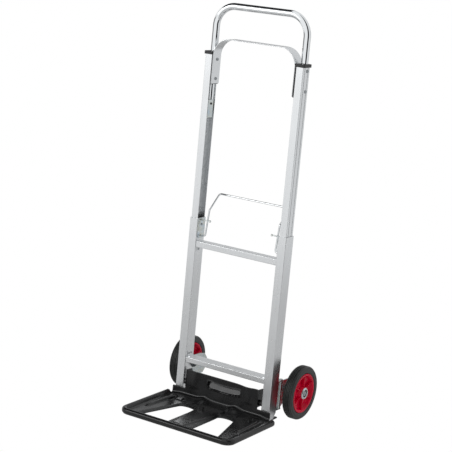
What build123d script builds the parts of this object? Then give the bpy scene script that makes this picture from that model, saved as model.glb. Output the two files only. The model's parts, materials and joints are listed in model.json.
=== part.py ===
"""Folding hand truck: aluminium two-stage frame, chrome handle, folding toe plate and folding wheels."""

import math
import os

from build123d import *

os.makedirs("parts", exist_ok=True)

# ---------------------------------------------------------------- driving dimensions (mm)
# The floor is z = 0, x runs across the truck, the toe plate points to -y.
TOTAL_HEIGHT = 1110.0
RAIL_FRONT = 28.0  # y of the front face of both lower rails
RAIL_W = 25.0
RAIL_D = 40.0
RAIL_OUTER = 154.3
RAIL_WALL = 1.5
RAIL_BOTTOM = 7.0
RAIL_TOP = 518.0
RAIL_X = RAIL_OUTER - RAIL_W / 2
RAIL_INNER = RAIL_OUTER - RAIL_W
RAIL_YC = RAIL_FRONT + RAIL_D / 2

MID_OUTER = 151.9
MID_W = 20.5
MID_D = 34.8
MID_WALL = 1.2
MID_BOTTOM = 450.0
MID_TOP = 968.0
MID_INNER = MID_OUTER - MID_W

TUBE_R = 9.5
TUBE_X = 140.85
TUBE_Y = RAIL_FRONT + 26.0
TUBE_TOP = TOTAL_HEIGHT - TUBE_R
TUBE_BOTTOM = 846.0
TUBE_BEND = 56.0

STRAP_FACE = 127.7  # outer face of the strap legs
STRAP_T = 2.0
STRAP_D = 38.0
STRAP_TOP = 1014.0
STRAP_BOTTOM = 890.0
STRAP_R = 48.0

WHEEL_R = 75.0
WHEEL_IN = 174.0
WHEEL_OUT = 202.0
AXLE_Y = RAIL_FRONT + 102.0
AXLE_Z = WHEEL_R
AXLE_R = 6.0
RIM_R = 55.5

ARM_X = 149.0  # upright hinge of the wheel arm
ARM_Y = RAIL_FRONT + 60.0
ARM_T = 3.0

TOE_HALF = 180.0
TOE_FRONT = RAIL_FRONT - 233.0
TOE_RIM_R = 8.5
TOE_CORNER = 26.0
TOE_SHEET_Z = 7.0
TOE_SHEET_T = 2.0
TOE_PANEL_Y = RAIL_FRONT - 6.0
TOE_PANEL_TOP = 91.0
TOE_PIVOT_Y = RAIL_FRONT + 10.0
TOE_PIVOT_Z = 48.0

BAIL_X = 113.0
BAIL_R = 2.4
BAIL_Y = RAIL_FRONT + 20.0
BAIL_Z = 468.0
LOCK_Y = RAIL_FRONT + 17.0
LOCK_Z = 513.0
LOCK_R = 1.6

FIT = 0.08  # radial running clearance
GAP = 0.4  # face to face clearance of moving parts


# ---------------------------------------------------------------- small helpers
def save(part, name):
    part.label = name
    export_step(part, "parts/" + name + ".step")


def block(x0, x1, y0, y1, z0, z1, mode=Mode.ADD):
    """A box between two corners, given in any order."""
    with Locations(((x0 + x1) / 2, (y0 + y1) / 2, (z0 + z1) / 2)):
        Box(abs(x1 - x0), abs(y1 - y0), abs(z1 - z0), mode=mode)


def rod_x(r, x0, x1, y, z, mode=Mode.ADD):
    """A round rod along x."""
    with Locations(((x0 + x1) / 2, y, z)):
        Cylinder(r, abs(x1 - x0), rotation=(0, 90, 0), mode=mode)


def rod_z(r, x, y, z0, z1, mode=Mode.ADD):
    """A round rod along z."""
    with Locations((x, y, (z0 + z1) / 2)):
        Cylinder(r, abs(z1 - z0), mode=mode)


def rod_y(r, x, y0, y1, z, mode=Mode.ADD):
    """A round rod along y."""
    with Locations((x, (y0 + y1) / 2, z)):
        Cylinder(r, abs(y1 - y0), rotation=(90, 0, 0), mode=mode)


def plate_x(points, x0, x1, mode=Mode.ADD):
    """A flat plate across x: points are (y, z)."""
    with BuildSketch(Plane.YZ.offset(min(x0, x1))) as outline:
        with BuildLine():
            Polyline(*points, close=True)
        make_face()
    extrude(outline.sketch, amount=abs(x1 - x0), mode=mode)


def plate_z(points, z0, z1, mode=Mode.ADD):
    """A flat plate across z: points are (x, y)."""
    with BuildSketch(Plane.XY.offset(z0)) as outline:
        with BuildLine():
            Polyline(*points, close=True)
        make_face()
    extrude(outline.sketch, amount=z1 - z0, mode=mode)


SIDES = {"left": -1, "right": 1}

# ---------------------------------------------------------------- lower frame
for side, s in SIDES.items():
    with BuildPart() as lower_rail:
        with BuildSketch(Plane.XY.offset(RAIL_BOTTOM)):
            with Locations((s * RAIL_X, RAIL_YC)):
                RectangleRounded(RAIL_W, RAIL_D, 1.6)
                Rectangle(RAIL_W - 2 * RAIL_WALL, RAIL_D - 2 * RAIL_WALL, mode=Mode.SUBTRACT)
        extrude(amount=RAIL_TOP - RAIL_BOTTOM)
        # the foot is cut back at its rear corner
        cut = [(RAIL_FRONT + 26, RAIL_BOTTOM - 1), (RAIL_FRONT + 42, RAIL_BOTTOM - 1), (RAIL_FRONT + 42, 24)]
        plate_x(cut, s * (RAIL_OUTER + 1), s * (RAIL_INNER - 1), mode=Mode.SUBTRACT)
        # bores in the inner wall: bail hook, lock pin and toe pivot bolt
        rod_x(BAIL_R + FIT, s * (RAIL_INNER - 1), s * (RAIL_INNER + 3), BAIL_Y, BAIL_Z, mode=Mode.SUBTRACT)
        rod_x(LOCK_R + FIT, s * (RAIL_INNER - 1), s * (RAIL_INNER + 3), LOCK_Y, LOCK_Z, mode=Mode.SUBTRACT)
        rod_x(4.02, s * (RAIL_INNER - 1), s * (RAIL_INNER + 3), TOE_PIVOT_Y, TOE_PIVOT_Z, mode=Mode.SUBTRACT)
    save(lower_rail.part, side + "_lower_rail")

    with BuildPart() as foot_plug:
        sole_rear = RAIL_FRONT + 25.5
        block(s * (RAIL_INNER + 0.2), s * (RAIL_OUTER - 0.2), RAIL_FRONT + 0.2, sole_rear, 3.5, RAIL_BOTTOM)
        # tongue to the rear, turned up a little
        tongue = [(sole_rear - 1, 3.5), (sole_rear + 24, 4.0), (sole_rear + 24, 7.4), (sole_rear - 1, 6.6)]
        plate_x(tongue, s * 146, s * 154)
        block(
            s * (RAIL_INNER + RAIL_WALL + 0.1),
            s * (RAIL_OUTER - RAIL_WALL - 0.1),
            RAIL_FRONT + RAIL_WALL + 0.1,
            RAIL_FRONT + 24.5,
            3.5,
            26,
        )
    save(foot_plug.part, side + "_foot_plug")

    # liner in the mouth of the lower rail, open towards the inside, in which the mid rail slides
    with BuildPart() as liner:
        block(
            s * (RAIL_INNER + RAIL_WALL + 0.6),
            s * (RAIL_OUTER - RAIL_WALL - 0.02),
            RAIL_FRONT + RAIL_WALL + 0.02,
            RAIL_FRONT + RAIL_D - RAIL_WALL - 0.02,
            490,
            RAIL_TOP - 0.5,
        )
        block(
            s * (RAIL_INNER + RAIL_WALL - 1),
            s * (MID_OUTER + FIT),
            RAIL_YC - MID_D / 2 - FIT,
            RAIL_YC + MID_D / 2 + FIT,
            489,
            RAIL_TOP,
            mode=Mode.SUBTRACT,
        )
    save(liner.part, side + "_slide_liner")

    # latch plate on the inner face of the rail's top
    with BuildPart() as latch_plate:
        with BuildSketch(Plane.YZ.offset(min(s * RAIL_INNER, s * (RAIL_INNER - 1.8)))):
            with Locations((RAIL_YC, (460 + 517.5) / 2)):
                Rectangle(33, 57.5)
            fillet(vertices().group_by(Axis.Y)[0], 13)
        extrude(amount=1.8)
        rod_x(BAIL_R + FIT, s * 120, s * 131, BAIL_Y, BAIL_Z, mode=Mode.SUBTRACT)
        rod_x(LOCK_R + FIT, s * 120, s * 131, LOCK_Y, LOCK_Z, mode=Mode.SUBTRACT)
        rod_x(2.0, s * 120, s * 131, RAIL_YC, 500, mode=Mode.SUBTRACT)
    save(latch_plate.part, side + "_latch_plate")

with BuildPart() as latch_rivets:
    for s in (-1, 1):
        rod_x(1.98, s * (RAIL_INNER), s * (RAIL_INNER - 1.8), RAIL_YC, 500)
        rod_x(3.4, s * (RAIL_INNER - 1.8), s * (RAIL_INNER - 3.0), RAIL_YC, 500)
save(latch_rivets.part, "latch_rivets")

# crossbars between the rails
with BuildPart() as upper_crossbar:
    with BuildSketch(Plane.YZ.offset(-RAIL_INNER)):
        with Locations((RAIL_FRONT + 2.4 + 13, 446)):
            RectangleRounded(26, 17, 1.2)
            RectangleRounded(23, 14, 0.4, mode=Mode.SUBTRACT)
    extrude(amount=2 * RAIL_INNER)
save(upper_crossbar.part, "upper_crossbar")

LOW_BAR_TOP = 120.8
LOW_BAR_H = 15.0
with BuildPart() as lower_crossbar:
    with BuildSketch(Plane.YZ.offset(-RAIL_INNER)):
        with Locations((RAIL_FRONT + 2.4 + 18, LOW_BAR_TOP - LOW_BAR_H / 2)):
            RectangleRounded(36, LOW_BAR_H, 1.2)
            RectangleRounded(33, LOW_BAR_H - 3, 0.4, mode=Mode.SUBTRACT)
        # shallow grooves along the front
        for dz in (-4, 0, 4):
            with Locations((RAIL_FRONT + 2.4, LOW_BAR_TOP - LOW_BAR_H / 2 + dz)):
                Rectangle(1.0, 1.2, mode=Mode.SUBTRACT)
    extrude(amount=2 * RAIL_INNER)
save(lower_crossbar.part, "lower_crossbar")

# angle lugs which fix the crossbars to the rails
UP_BAR_BOTTOM = 437.5
with BuildPart() as crossbar_lugs:
    y0 = RAIL_FRONT + 8
    for s in (-1, 1):
        edge = s * RAIL_INNER
        up = UP_BAR_BOTTOM
        block(edge, s * (RAIL_INNER - 12), y0, y0 + 14, up - 1.6, up)
        block(edge, s * (RAIL_INNER - 1.6), y0, y0 + 14, up - 12, up - 1.6)
        low = LOW_BAR_TOP
        block(edge, s * (RAIL_INNER - 8.6), y0, y0 + 22, low, low + 1.6)
        block(edge, s * (RAIL_INNER - 1.6), y0, y0 + 22, low + 1.6, low + 16)
save(crossbar_lugs.part, "crossbar_lugs")

with BuildPart() as crossbar_rivets:
    for s in (-1, 1):
        rod_x(3.0, s * (RAIL_INNER - 1.6), s * (RAIL_INNER - 2.8), RAIL_FRONT + 15, UP_BAR_BOTTOM - 7)
        rod_z(2.6, s * (RAIL_INNER - 7.5), RAIL_FRONT + 15, UP_BAR_BOTTOM - 2.8, UP_BAR_BOTTOM - 1.6)
        rod_x(2.6, s * (RAIL_INNER - 1.6), s * (RAIL_INNER - 2.8), RAIL_FRONT + 14, LOW_BAR_TOP + 9)
        rod_x(2.6, s * (RAIL_INNER - 1.6), s * (RAIL_INNER - 2.8), RAIL_FRONT + 24, LOW_BAR_TOP + 9)
save(crossbar_rivets.part, "crossbar_rivets")

# ---------------------------------------------------------------- wheel hinge brackets
BACK = RAIL_FRONT + RAIL_D
LUG_TOP = 108.4
LUG_LOW = 29.5
for side, s in SIDES.items():
    with BuildPart() as hinge_bracket:
        # flange on the rail's back
        block(s * 131, s * 153.5, BACK + 0.1, BACK + 2.3, LUG_LOW - 2.4, LUG_TOP + 2.4)
        # tab of the flange, tapered downwards, behind the lower crossbar
        tab = [(s * 132, 110), (s * 112, 110), (s * 115, 92), (s * 121, 86), (s * 132, 81)]
        with BuildSketch(Plane.XZ.offset(-BACK - 2.3)):
            with BuildLine():
                Polyline(*tab, close=True)
            make_face()
        extrude(amount=2.2)
        # two lugs which hold the upright hinge pin
        for z0 in (LUG_LOW - 2.4, LUG_TOP):
            block(s * (ARM_X - 7), s * 153.5, BACK + 0.1, ARM_Y, z0, z0 + 2.4)
            rod_z(6.0, s * ARM_X, ARM_Y, z0, z0 + 2.4)
        rod_z(3.0, s * ARM_X, ARM_Y, 20, 130, mode=Mode.SUBTRACT)
    save(hinge_bracket.part, side + "_hinge_bracket")

    # wheel arm: a plate rolled round the hinge pin at its front edge
    with BuildPart() as wheel_arm:
        arm = [
            (ARM_Y + 4, LUG_TOP - GAP),
            (RAIL_FRONT + 104, 106.5),
            (RAIL_FRONT + 128, 101),
            (RAIL_FRONT + 141, 86),
            (RAIL_FRONT + 136, 56),
            (RAIL_FRONT + 124, 44),
            (RAIL_FRONT + 84, 44),
            (RAIL_FRONT + 66, LUG_LOW + GAP),
            (ARM_Y + 4, LUG_LOW + GAP),
        ]
        plate_x(arm, s * (ARM_X - ARM_T / 2), s * (ARM_X + ARM_T / 2))
        rod_z(5.4, s * ARM_X, ARM_Y, LUG_LOW + GAP, LUG_TOP - GAP)
        rod_z(3.0 + FIT, s * ARM_X, ARM_Y, 20, 130, mode=Mode.SUBTRACT)
        rod_x(AXLE_R, s * 140, s * 160, AXLE_Y, AXLE_Z, mode=Mode.SUBTRACT)
    save(wheel_arm.part, side + "_wheel_arm")

    with BuildPart() as stub_axle:
        rod_x(AXLE_R, s * (ARM_X - ARM_T / 2), s * 204.2, AXLE_Y, AXLE_Z)
    save(stub_axle.part, side + "_stub_axle")

    with BuildPart() as axle_spacer:
        rod_x(9.0, s * (ARM_X + ARM_T / 2), s * 171.5, AXLE_Y, AXLE_Z)
        rod_x(12.5, s * 169.5, s * 171.5, AXLE_Y, AXLE_Z)
        rod_x(AXLE_R, s * 140, s * 180, AXLE_Y, AXLE_Z, mode=Mode.SUBTRACT)
    save(axle_spacer.part, side + "_axle_spacer")

    with BuildPart() as axle_clip:
        rod_x(8.6, s * 202.5, s * 203.8, AXLE_Y, AXLE_Z)
        rod_x(AXLE_R, s * 200, s * 206, AXLE_Y, AXLE_Z, mode=Mode.SUBTRACT)
    save(axle_clip.part, side + "_axle_clip")

with BuildPart() as hinge_pins:
    for s in (-1, 1):
        rod_z(3.0, s * ARM_X, ARM_Y, LUG_LOW - 3.9, LUG_TOP + 3.6)
        rod_z(5.0, s * ARM_X, ARM_Y, LUG_TOP + 2.4, LUG_TOP + 4.4)
save(hinge_pins.part, "hinge_pins")

with BuildPart() as bracket_rivets:
    for s in (-1, 1):
        for z in (45, 72, 99):
            rod_y(3.4, s * 138, BACK + 2.3, BACK + 3.7, z)
save(bracket_rivets.part, "bracket_rivets")

# ---------------------------------------------------------------- wheels
HUB_FACE = 201.0
for side, s in SIDES.items():
    # the sections are drawn in (x, distance from the axle) and turned round the axle
    with BuildPart() as tyre:
        with BuildSketch(Plane.XY):
            with BuildLine():
                Polyline(
                    (s * (WHEEL_IN + 3), RIM_R),
                    (s * WHEEL_IN, RIM_R + 4),
                    (s * WHEEL_IN, 68),
                    (s * (WHEEL_IN + 2.2), 72.4),
                    (s * (WHEEL_IN + 5.6), WHEEL_R),
                    (s * (WHEEL_OUT - 5.6), WHEEL_R),
                    (s * (WHEEL_OUT - 2.2), 72.4),
                    (s * WHEEL_OUT, 68),
                    (s * WHEEL_OUT, RIM_R + 4),
                    (s * (WHEEL_OUT - 3), RIM_R),
                    (s * (WHEEL_OUT - 4), 50),
                    (s * (WHEEL_IN + 4), 50),
                    close=True,
                )
            make_face()
        revolve(axis=Axis.X)
    save(tyre.part.moved(Location((0, AXLE_Y, AXLE_Z))), side + "_tyre")

    with BuildPart() as hub:
        with BuildSketch(Plane.XY):
            with BuildLine():
                Polyline(
                    (s * (WHEEL_IN + 2), 46),
                    (s * (WHEEL_IN + 2), RIM_R - 0.3),
                    (s * (WHEEL_IN + 2.9), RIM_R - 0.3),
                    (s * (WHEEL_IN + 3.9), 49.9),
                    (s * (WHEEL_OUT - 3.9), 49.9),
                    (s * (WHEEL_OUT - 2.9), RIM_R - 0.3),
                    (s * (WHEEL_OUT - 1.2), RIM_R - 0.3),
                    (s * (WHEEL_OUT - 1.2), 46),
                    (s * 192, 44),
                    (s * 190, 19),
                    (s * 201.5, 16.5),
                    (s * 201.5, 9),
                    (s * 172, 9),
                    (s * 172, 16),
                    (s * 184, 19),
                    (s * 184, 44),
                    close=True,
                )
            make_face()
        revolve(axis=Axis.X)
        # ribs from the boss to the rim, on both faces of the disc
        for k in range(6):
            with Locations(Location((0, 0, 0), (1, 0, 0), 60 * k + 30)):
                with Locations((s * 194.2, 0, 31.5)):
                    Box(8.0, 5.0, 31)
                with Locations((s * 180.5, 0, 31.5)):
                    Box(7.4, 5.0, 31)
    save(hub.part.moved(Location((0, AXLE_Y, AXLE_Z))), side + "_wheel_hub")

    with BuildPart() as bushing:
        rod_x(9.0, s * 172, s * 201.5, AXLE_Y, AXLE_Z)
        rod_x(AXLE_R + FIT, s * 170, s * 204, AXLE_Y, AXLE_Z, mode=Mode.SUBTRACT)
    save(bushing.part, side + "_wheel_bushing")

    with BuildPart() as hub_cap:
        with BuildSketch(Plane.XY):
            with BuildLine():
                Polyline(
                    (s * 201.5, 16.4),
                    (s * 203.4, 16.4),
                    (s * 205.4, 13.5),
                    (s * 206.0, 8.0),
                    (s * 206.0, 0),
                    (s * 205.0, 0),
                    (s * 205.0, 11.5),
                    (s * 201.5, 13.5),
                    close=True,
                )
            make_face()
        revolve(axis=Axis.X)
    save(hub_cap.part.moved(Location((0, AXLE_Y, AXLE_Z))), side + "_hub_cap")

# ---------------------------------------------------------------- mid frame, slides down into the lower rails
for side, s in SIDES.items():
    with BuildPart() as mid_rail:
        block(
            s * MID_INNER, s * MID_OUTER, RAIL_YC - MID_D / 2, RAIL_YC + MID_D / 2, MID_BOTTOM, MID_TOP
        )
        fillet(edges().filter_by(Axis.Z), 1.0)
        block(
            s * (MID_INNER - 5),
            s * (MID_OUTER - MID_WALL),
            RAIL_YC - MID_D / 2 + MID_WALL,
            RAIL_YC + MID_D / 2 - MID_WALL,
            MID_BOTTOM - 1,
            MID_TOP + 1,
            mode=Mode.SUBTRACT,
        )
        # snap hole of the handle clip
        rod_x(2.0, s * (MID_OUTER - 3), s * (MID_OUTER + 1), RAIL_FRONT + 23, 869, mode=Mode.SUBTRACT)
    save(mid_rail.part, side + "_mid_rail")

    with BuildPart() as shoe:
        block(
            s * (MID_INNER + 0.2),
            s * (MID_OUTER - MID_WALL - 0.05),
            RAIL_YC - MID_D / 2 + MID_WALL + 0.05,
            RAIL_YC + MID_D / 2 - MID_WALL - 0.05,
            MID_BOTTOM,
            MID_BOTTOM + 24,
        )
        block(
            s * (RAIL_INNER + RAIL_WALL + 0.3),
            s * (RAIL_OUTER - RAIL_WALL - FIT),
            RAIL_FRONT + RAIL_WALL + FIT,
            RAIL_FRONT + RAIL_D - RAIL_WALL - FIT,
            MID_BOTTOM - 6,
            MID_BOTTOM,
        )
    save(shoe.part, side + "_slide_shoe")

    # black guide between the strap's leg and the mid rail, with a rib in the channel
    with BuildPart() as guide:
        block(s * STRAP_FACE, s * (MID_INNER - 0.4), RAIL_YC - 17.2, RAIL_YC + 17.2, 888, MID_TOP - 0.2)
        block(
            s * (MID_INNER - 0.4),
            s * (MID_OUTER - MID_WALL - 0.1),
            RAIL_YC - MID_D / 2 + MID_WALL + 0.1,
            TUBE_Y - TUBE_R - 0.6,
            892,
            MID_TOP - 0.2,
        )
    save(guide.part, side + "_strap_guide")

    with BuildPart() as collar:
        block(s * (STRAP_FACE + 0.3), s * 156, RAIL_FRONT + 0.4, RAIL_FRONT + 39.6, MID_TOP, MID_TOP + 8.6)
        fillet(edges().filter_by(Axis.Z), 3.0)
        fillet(faces().sort_by(Axis.Z)[-1].edges(), 1.6)
        rod_z(TUBE_R + FIT, s * TUBE_X, TUBE_Y, MID_TOP - 1, MID_TOP + 10, mode=Mode.SUBTRACT)
    save(collar.part, side + "_rail_collar")

with BuildPart() as top_strap:
    with BuildSketch(Plane.XZ.offset(-(RAIL_FRONT + 1))):
        with BuildLine():
            f = STRAP_FACE
            g = STRAP_FACE - STRAP_T
            r = STRAP_R
            Line((-f, STRAP_BOTTOM), (-f, STRAP_TOP - r))
            ThreePointArc(
                (-f, STRAP_TOP - r),
                (-f + r * (1 - math.sqrt(0.5)), STRAP_TOP - r * (1 - math.sqrt(0.5))),
                (-f + r, STRAP_TOP),
            )
            Line((-f + r, STRAP_TOP), (f - r, STRAP_TOP))
            ThreePointArc(
                (f - r, STRAP_TOP),
                (f - r * (1 - math.sqrt(0.5)), STRAP_TOP - r * (1 - math.sqrt(0.5))),
                (f, STRAP_TOP - r),
            )
            Line((f, STRAP_TOP - r), (f, STRAP_BOTTOM))
            Line((f, STRAP_BOTTOM), (g, STRAP_BOTTOM))
            Line((g, STRAP_BOTTOM), (g, STRAP_TOP - r))
            q = r - STRAP_T
            ThreePointArc(
                (g, STRAP_TOP - r),
                (g - q * (1 - math.sqrt(0.5)), STRAP_TOP - STRAP_T - q * (1 - math.sqrt(0.5))),
                (g - q, STRAP_TOP - STRAP_T),
            )
            Line((g - q, STRAP_TOP - STRAP_T), (-g + q, STRAP_TOP - STRAP_T))
            ThreePointArc(
                (-g + q, STRAP_TOP - STRAP_T),
                (-g + q * (1 - math.sqrt(0.5)), STRAP_TOP - STRAP_T - q * (1 - math.sqrt(0.5))),
                (-g, STRAP_TOP - r),
            )
            Line((-g, STRAP_TOP - r), (-g, STRAP_BOTTOM))
            Line((-g, STRAP_BOTTOM), (-f, STRAP_BOTTOM))
        make_face()
    extrude(amount=-STRAP_D)
save(top_strap.part, "top_strap")

with BuildPart() as strap_screws:
    for s in (-1, 1):
        for z in (955, 903):
            g = STRAP_FACE - STRAP_T
            rod_x(4.2, s * g, s * (g - 1.8), RAIL_FRONT + 22, z)
            rod_x(1.6, s * (g - 1.1), s * (g - 1.9), RAIL_FRONT + 22, z, mode=Mode.SUBTRACT)
save(strap_screws.part, "strap_screws")

with BuildPart() as guide_rivets:
    for s in (-1, 1):
        for z in (958, 904.5):
            rod_x(4.4, s * MID_OUTER, s * (MID_OUTER + 1.6), RAIL_FRONT + 26, z)
            rod_x(1.6, s * (MID_OUTER + 0.9), s * (MID_OUTER + 1.7), RAIL_FRONT + 26, z, mode=Mode.SUBTRACT)
save(guide_rivets.part, "guide_rivets")

# ---------------------------------------------------------------- pull handle
with BuildPart() as handle_tube:
    with BuildLine() as path:
        FilletPolyline(
            (-TUBE_X, TUBE_Y, TUBE_BOTTOM),
            (-TUBE_X, TUBE_Y, TUBE_TOP),
            (TUBE_X, TUBE_Y, TUBE_TOP),
            (TUBE_X, TUBE_Y, TUBE_BOTTOM),
            radius=TUBE_BEND,
        )
    with BuildSketch(Plane.XY.offset(TUBE_BOTTOM)):
        with Locations((-TUBE_X, TUBE_Y)):
            Circle(TUBE_R)
            Circle(TUBE_R - 1.2, mode=Mode.SUBTRACT)
    sweep(path=path.line)
save(handle_tube.part, "handle_tube")

CLIP_X = 134.0
for side, s in SIDES.items():
    with BuildPart() as clip:
        # plug in the tube's end with a spring leaf below it
        rod_z(TUBE_R - 1.22, s * TUBE_X, TUBE_Y, TUBE_BOTTOM, TUBE_BOTTOM + 14)
        rod_z(TUBE_R - 0.5, s * TUBE_X, TUBE_Y, TUBE_BOTTOM - 2.5, TUBE_BOTTOM)
        block(s * (CLIP_X - 0.6), s * (CLIP_X + 0.6), RAIL_FRONT + 8, RAIL_FRONT + 33, 796, TUBE_BOTTOM - 1)
        leaf_top = TUBE_BOTTOM - 1
        block(s * (CLIP_X - 0.6), s * TUBE_X, RAIL_FRONT + 21, RAIL_FRONT + 31, leaf_top - 1.5, leaf_top)
        rod_x(3.0 + FIT, s * 130, s * 138, RAIL_FRONT + 22, 834, mode=Mode.SUBTRACT)
    save(clip.part, side + "_handle_clip")

    with BuildPart() as button:
        rod_x(3.0, s * (CLIP_X - 2.2), s * (CLIP_X + 5), RAIL_FRONT + 22, 834)
        rod_x(4.4, s * (CLIP_X + 0.6 + GAP), s * (CLIP_X + 2.4), RAIL_FRONT + 22, 834)
    save(button.part, side + "_snap_button")

# ---------------------------------------------------------------- release bail and lock pins
with BuildPart() as release_bail:
    with BuildLine() as wire:
        FilletPolyline(
            (-130.4, BAIL_Y, BAIL_Z),
            (-BAIL_X, BAIL_Y, BAIL_Z),
            (-BAIL_X, RAIL_FRONT + 31, 541),
            (-BAIL_X, RAIL_FRONT + 76, 582),
            (BAIL_X, RAIL_FRONT + 76, 582),
            (BAIL_X, RAIL_FRONT + 31, 541),
            (BAIL_X, BAIL_Y, BAIL_Z),
            (130.4, BAIL_Y, BAIL_Z),
            radius=7.0,
        )
    with BuildSketch(Plane.YZ.offset(-130.4)):
        with Locations((BAIL_Y, BAIL_Z)):
            Circle(BAIL_R)
    sweep(path=wire.line)
save(release_bail.part, "release_bail")

for side, s in SIDES.items():
    with BuildPart() as lock_pin:
        rod_x(LOCK_R, s * 130.4, s * 98, LOCK_Y, LOCK_Z)
        rod_x(3.0, s * 101, s * 98, LOCK_Y, LOCK_Z)
        rod_x(2.6, s * 126, s * 124.6, LOCK_Y, LOCK_Z)
    save(lock_pin.part, side + "_lock_pin")

# ---------------------------------------------------------------- toe plate
with BuildPart() as toe_plate:
    back = RAIL_FRONT - 4.0
    # flat sheet with its front corners rounded
    with BuildSketch(Plane.XY.offset(TOE_SHEET_Z)):
        with Locations((0, (TOE_FRONT + TOE_RIM_R + back) / 2)):
            Rectangle(2 * (TOE_HALF - TOE_RIM_R), back - TOE_FRONT - TOE_RIM_R)
        fillet(vertices().group_by(Axis.Y)[0], TOE_CORNER - TOE_RIM_R)
    extrude(amount=TOE_SHEET_T)
    # two windows
    for s in (-1, 1):
        with BuildSketch(Plane.XY.offset(TOE_SHEET_Z - 1)):
            with BuildLine():
                Polyline(
                    (s * 37, RAIL_FRONT - 200),
                    (s * 122, RAIL_FRONT - 200),
                    (s * 95, RAIL_FRONT - 82),
                    (s * 85, RAIL_FRONT - 71),
                    (s * 45, RAIL_FRONT - 71),
                    close=True,
                )
            make_face()
            fillet(vertices(), 7)
        extrude(amount=TOE_SHEET_T + 2, mode=Mode.SUBTRACT)
    # rolled rim round three sides
    with BuildLine() as rim:
        xr = TOE_HALF - TOE_RIM_R
        yr = TOE_FRONT + TOE_RIM_R
        zr = TOE_RIM_R + 0.3
        corners = [(-xr, back, zr), (-xr, yr, zr), (xr, yr, zr), (xr, back, zr)]
        FilletPolyline(*corners, radius=TOE_CORNER - TOE_RIM_R)
    with BuildSketch(Plane.XZ.offset(-back)):
        with Locations((-xr, zr)):
            Circle(TOE_RIM_R)
            Circle(TOE_RIM_R - 2.2, mode=Mode.SUBTRACT)
    sweep(path=rim.line)
    # upstand: low before the rails' feet, high between the rails
    upstand = [
        (-162, TOE_SHEET_Z + 0.5),
        (-162, 28),
        (-158, 33),
        (-122, 33),
        (-119, 40),
        (-119, TOE_PANEL_TOP - 4),
        (-115, TOE_PANEL_TOP),
        (115, TOE_PANEL_TOP),
        (119, TOE_PANEL_TOP - 4),
        (119, 40),
        (122, 33),
        (158, 33),
        (162, 28),
        (162, TOE_SHEET_Z + 0.5),
    ]
    with BuildSketch(Plane.XZ.offset(-TOE_PANEL_Y - 2)):
        with BuildLine():
            Polyline(*upstand, close=True)
        make_face()
    extrude(amount=2)
    # pressed grip: the panel leans back between the grip's lower and upper edge, under a short hood
    grip_low = 51.0
    grip_high = 70.5
    front = TOE_PANEL_Y
    hood_top = grip_high + 2
    hood_rear = front + 11
    hood = [(front + 2, grip_low - 1), (hood_rear, grip_high), (hood_rear, hood_top), (front + 2, hood_top)]
    plate_x(hood, -44, 63)
    hollow = [(front - 0.1, grip_low), (front + 9, grip_high), (front - 0.1, grip_high)]
    plate_x(hollow, -42, 61, mode=Mode.SUBTRACT)
    # ends of the high part turned back between the rails, they carry the pivots
    for s in (-1, 1):
        ear = [
            (TOE_PANEL_Y, 40),
            (RAIL_FRONT + 20, 40),
            (RAIL_FRONT + 26, 46),
            (RAIL_FRONT + 26, 74),
            (RAIL_FRONT + 22, TOE_PANEL_TOP - 4),
            (RAIL_FRONT + 18, TOE_PANEL_TOP - 2),
            (TOE_PANEL_Y, TOE_PANEL_TOP - 2),
        ]
        plate_x(ear, s * 117, s * 119)
        rod_x(6.0, s * 116, s * 120, TOE_PIVOT_Y, TOE_PIVOT_Z, mode=Mode.SUBTRACT)
save(toe_plate.part, "toe_plate")

with BuildPart() as toe_bushings:
    for s in (-1, 1):
        rod_x(6.0, s * (115 + GAP), s * (RAIL_INNER - GAP), TOE_PIVOT_Y, TOE_PIVOT_Z)
        rod_x(8.0, s * 119, s * (RAIL_INNER - GAP), TOE_PIVOT_Y, TOE_PIVOT_Z)
        rod_x(4.0 + FIT, s * 110, s * 135, TOE_PIVOT_Y, TOE_PIVOT_Z, mode=Mode.SUBTRACT)
save(toe_bushings.part, "toe_bushings")

with BuildPart() as toe_bolts:
    for s in (-1, 1):
        rod_x(4.0, s * 115, s * (RAIL_INNER + RAIL_WALL), TOE_PIVOT_Y, TOE_PIVOT_Z)
        rod_x(7.0, s * 111.5, s * 115, TOE_PIVOT_Y, TOE_PIVOT_Z)
save(toe_bolts.part, "toe_bolts")
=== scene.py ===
"""Looks of the folding hand truck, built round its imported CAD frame.

Lengths are metres, +Z is up and the toe plate points to -Y, as in the frame. Shapes are surfaces worked
out with numpy: outlines carried along paths, sections turned about the axle, and a pressed sheet given by
its height.
"""

import json
import math

import bmesh
import bpy
import numpy as np
from mathutils import Matrix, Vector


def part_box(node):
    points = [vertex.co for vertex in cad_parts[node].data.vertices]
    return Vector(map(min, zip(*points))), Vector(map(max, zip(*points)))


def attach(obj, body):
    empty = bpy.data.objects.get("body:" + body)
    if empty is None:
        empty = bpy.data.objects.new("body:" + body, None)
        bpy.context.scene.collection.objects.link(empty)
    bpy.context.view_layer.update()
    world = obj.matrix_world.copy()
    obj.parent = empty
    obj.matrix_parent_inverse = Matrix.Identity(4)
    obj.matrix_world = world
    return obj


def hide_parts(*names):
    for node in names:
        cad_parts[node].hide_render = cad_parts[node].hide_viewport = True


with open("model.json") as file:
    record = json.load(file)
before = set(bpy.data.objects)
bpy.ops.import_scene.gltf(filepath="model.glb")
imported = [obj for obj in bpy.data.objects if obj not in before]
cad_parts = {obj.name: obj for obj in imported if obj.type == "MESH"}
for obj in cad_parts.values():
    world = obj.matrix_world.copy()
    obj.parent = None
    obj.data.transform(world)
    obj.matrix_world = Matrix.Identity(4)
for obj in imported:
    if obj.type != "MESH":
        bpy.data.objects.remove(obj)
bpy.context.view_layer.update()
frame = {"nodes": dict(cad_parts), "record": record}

MM = 0.001
WHITE = (1, 1, 1, 1)
SIDES = {"left": -1.0, "right": 1.0}
SLOT_OF = {part["node"]: part["material_slot"] for part in frame["record"]["subparts"]}


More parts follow.
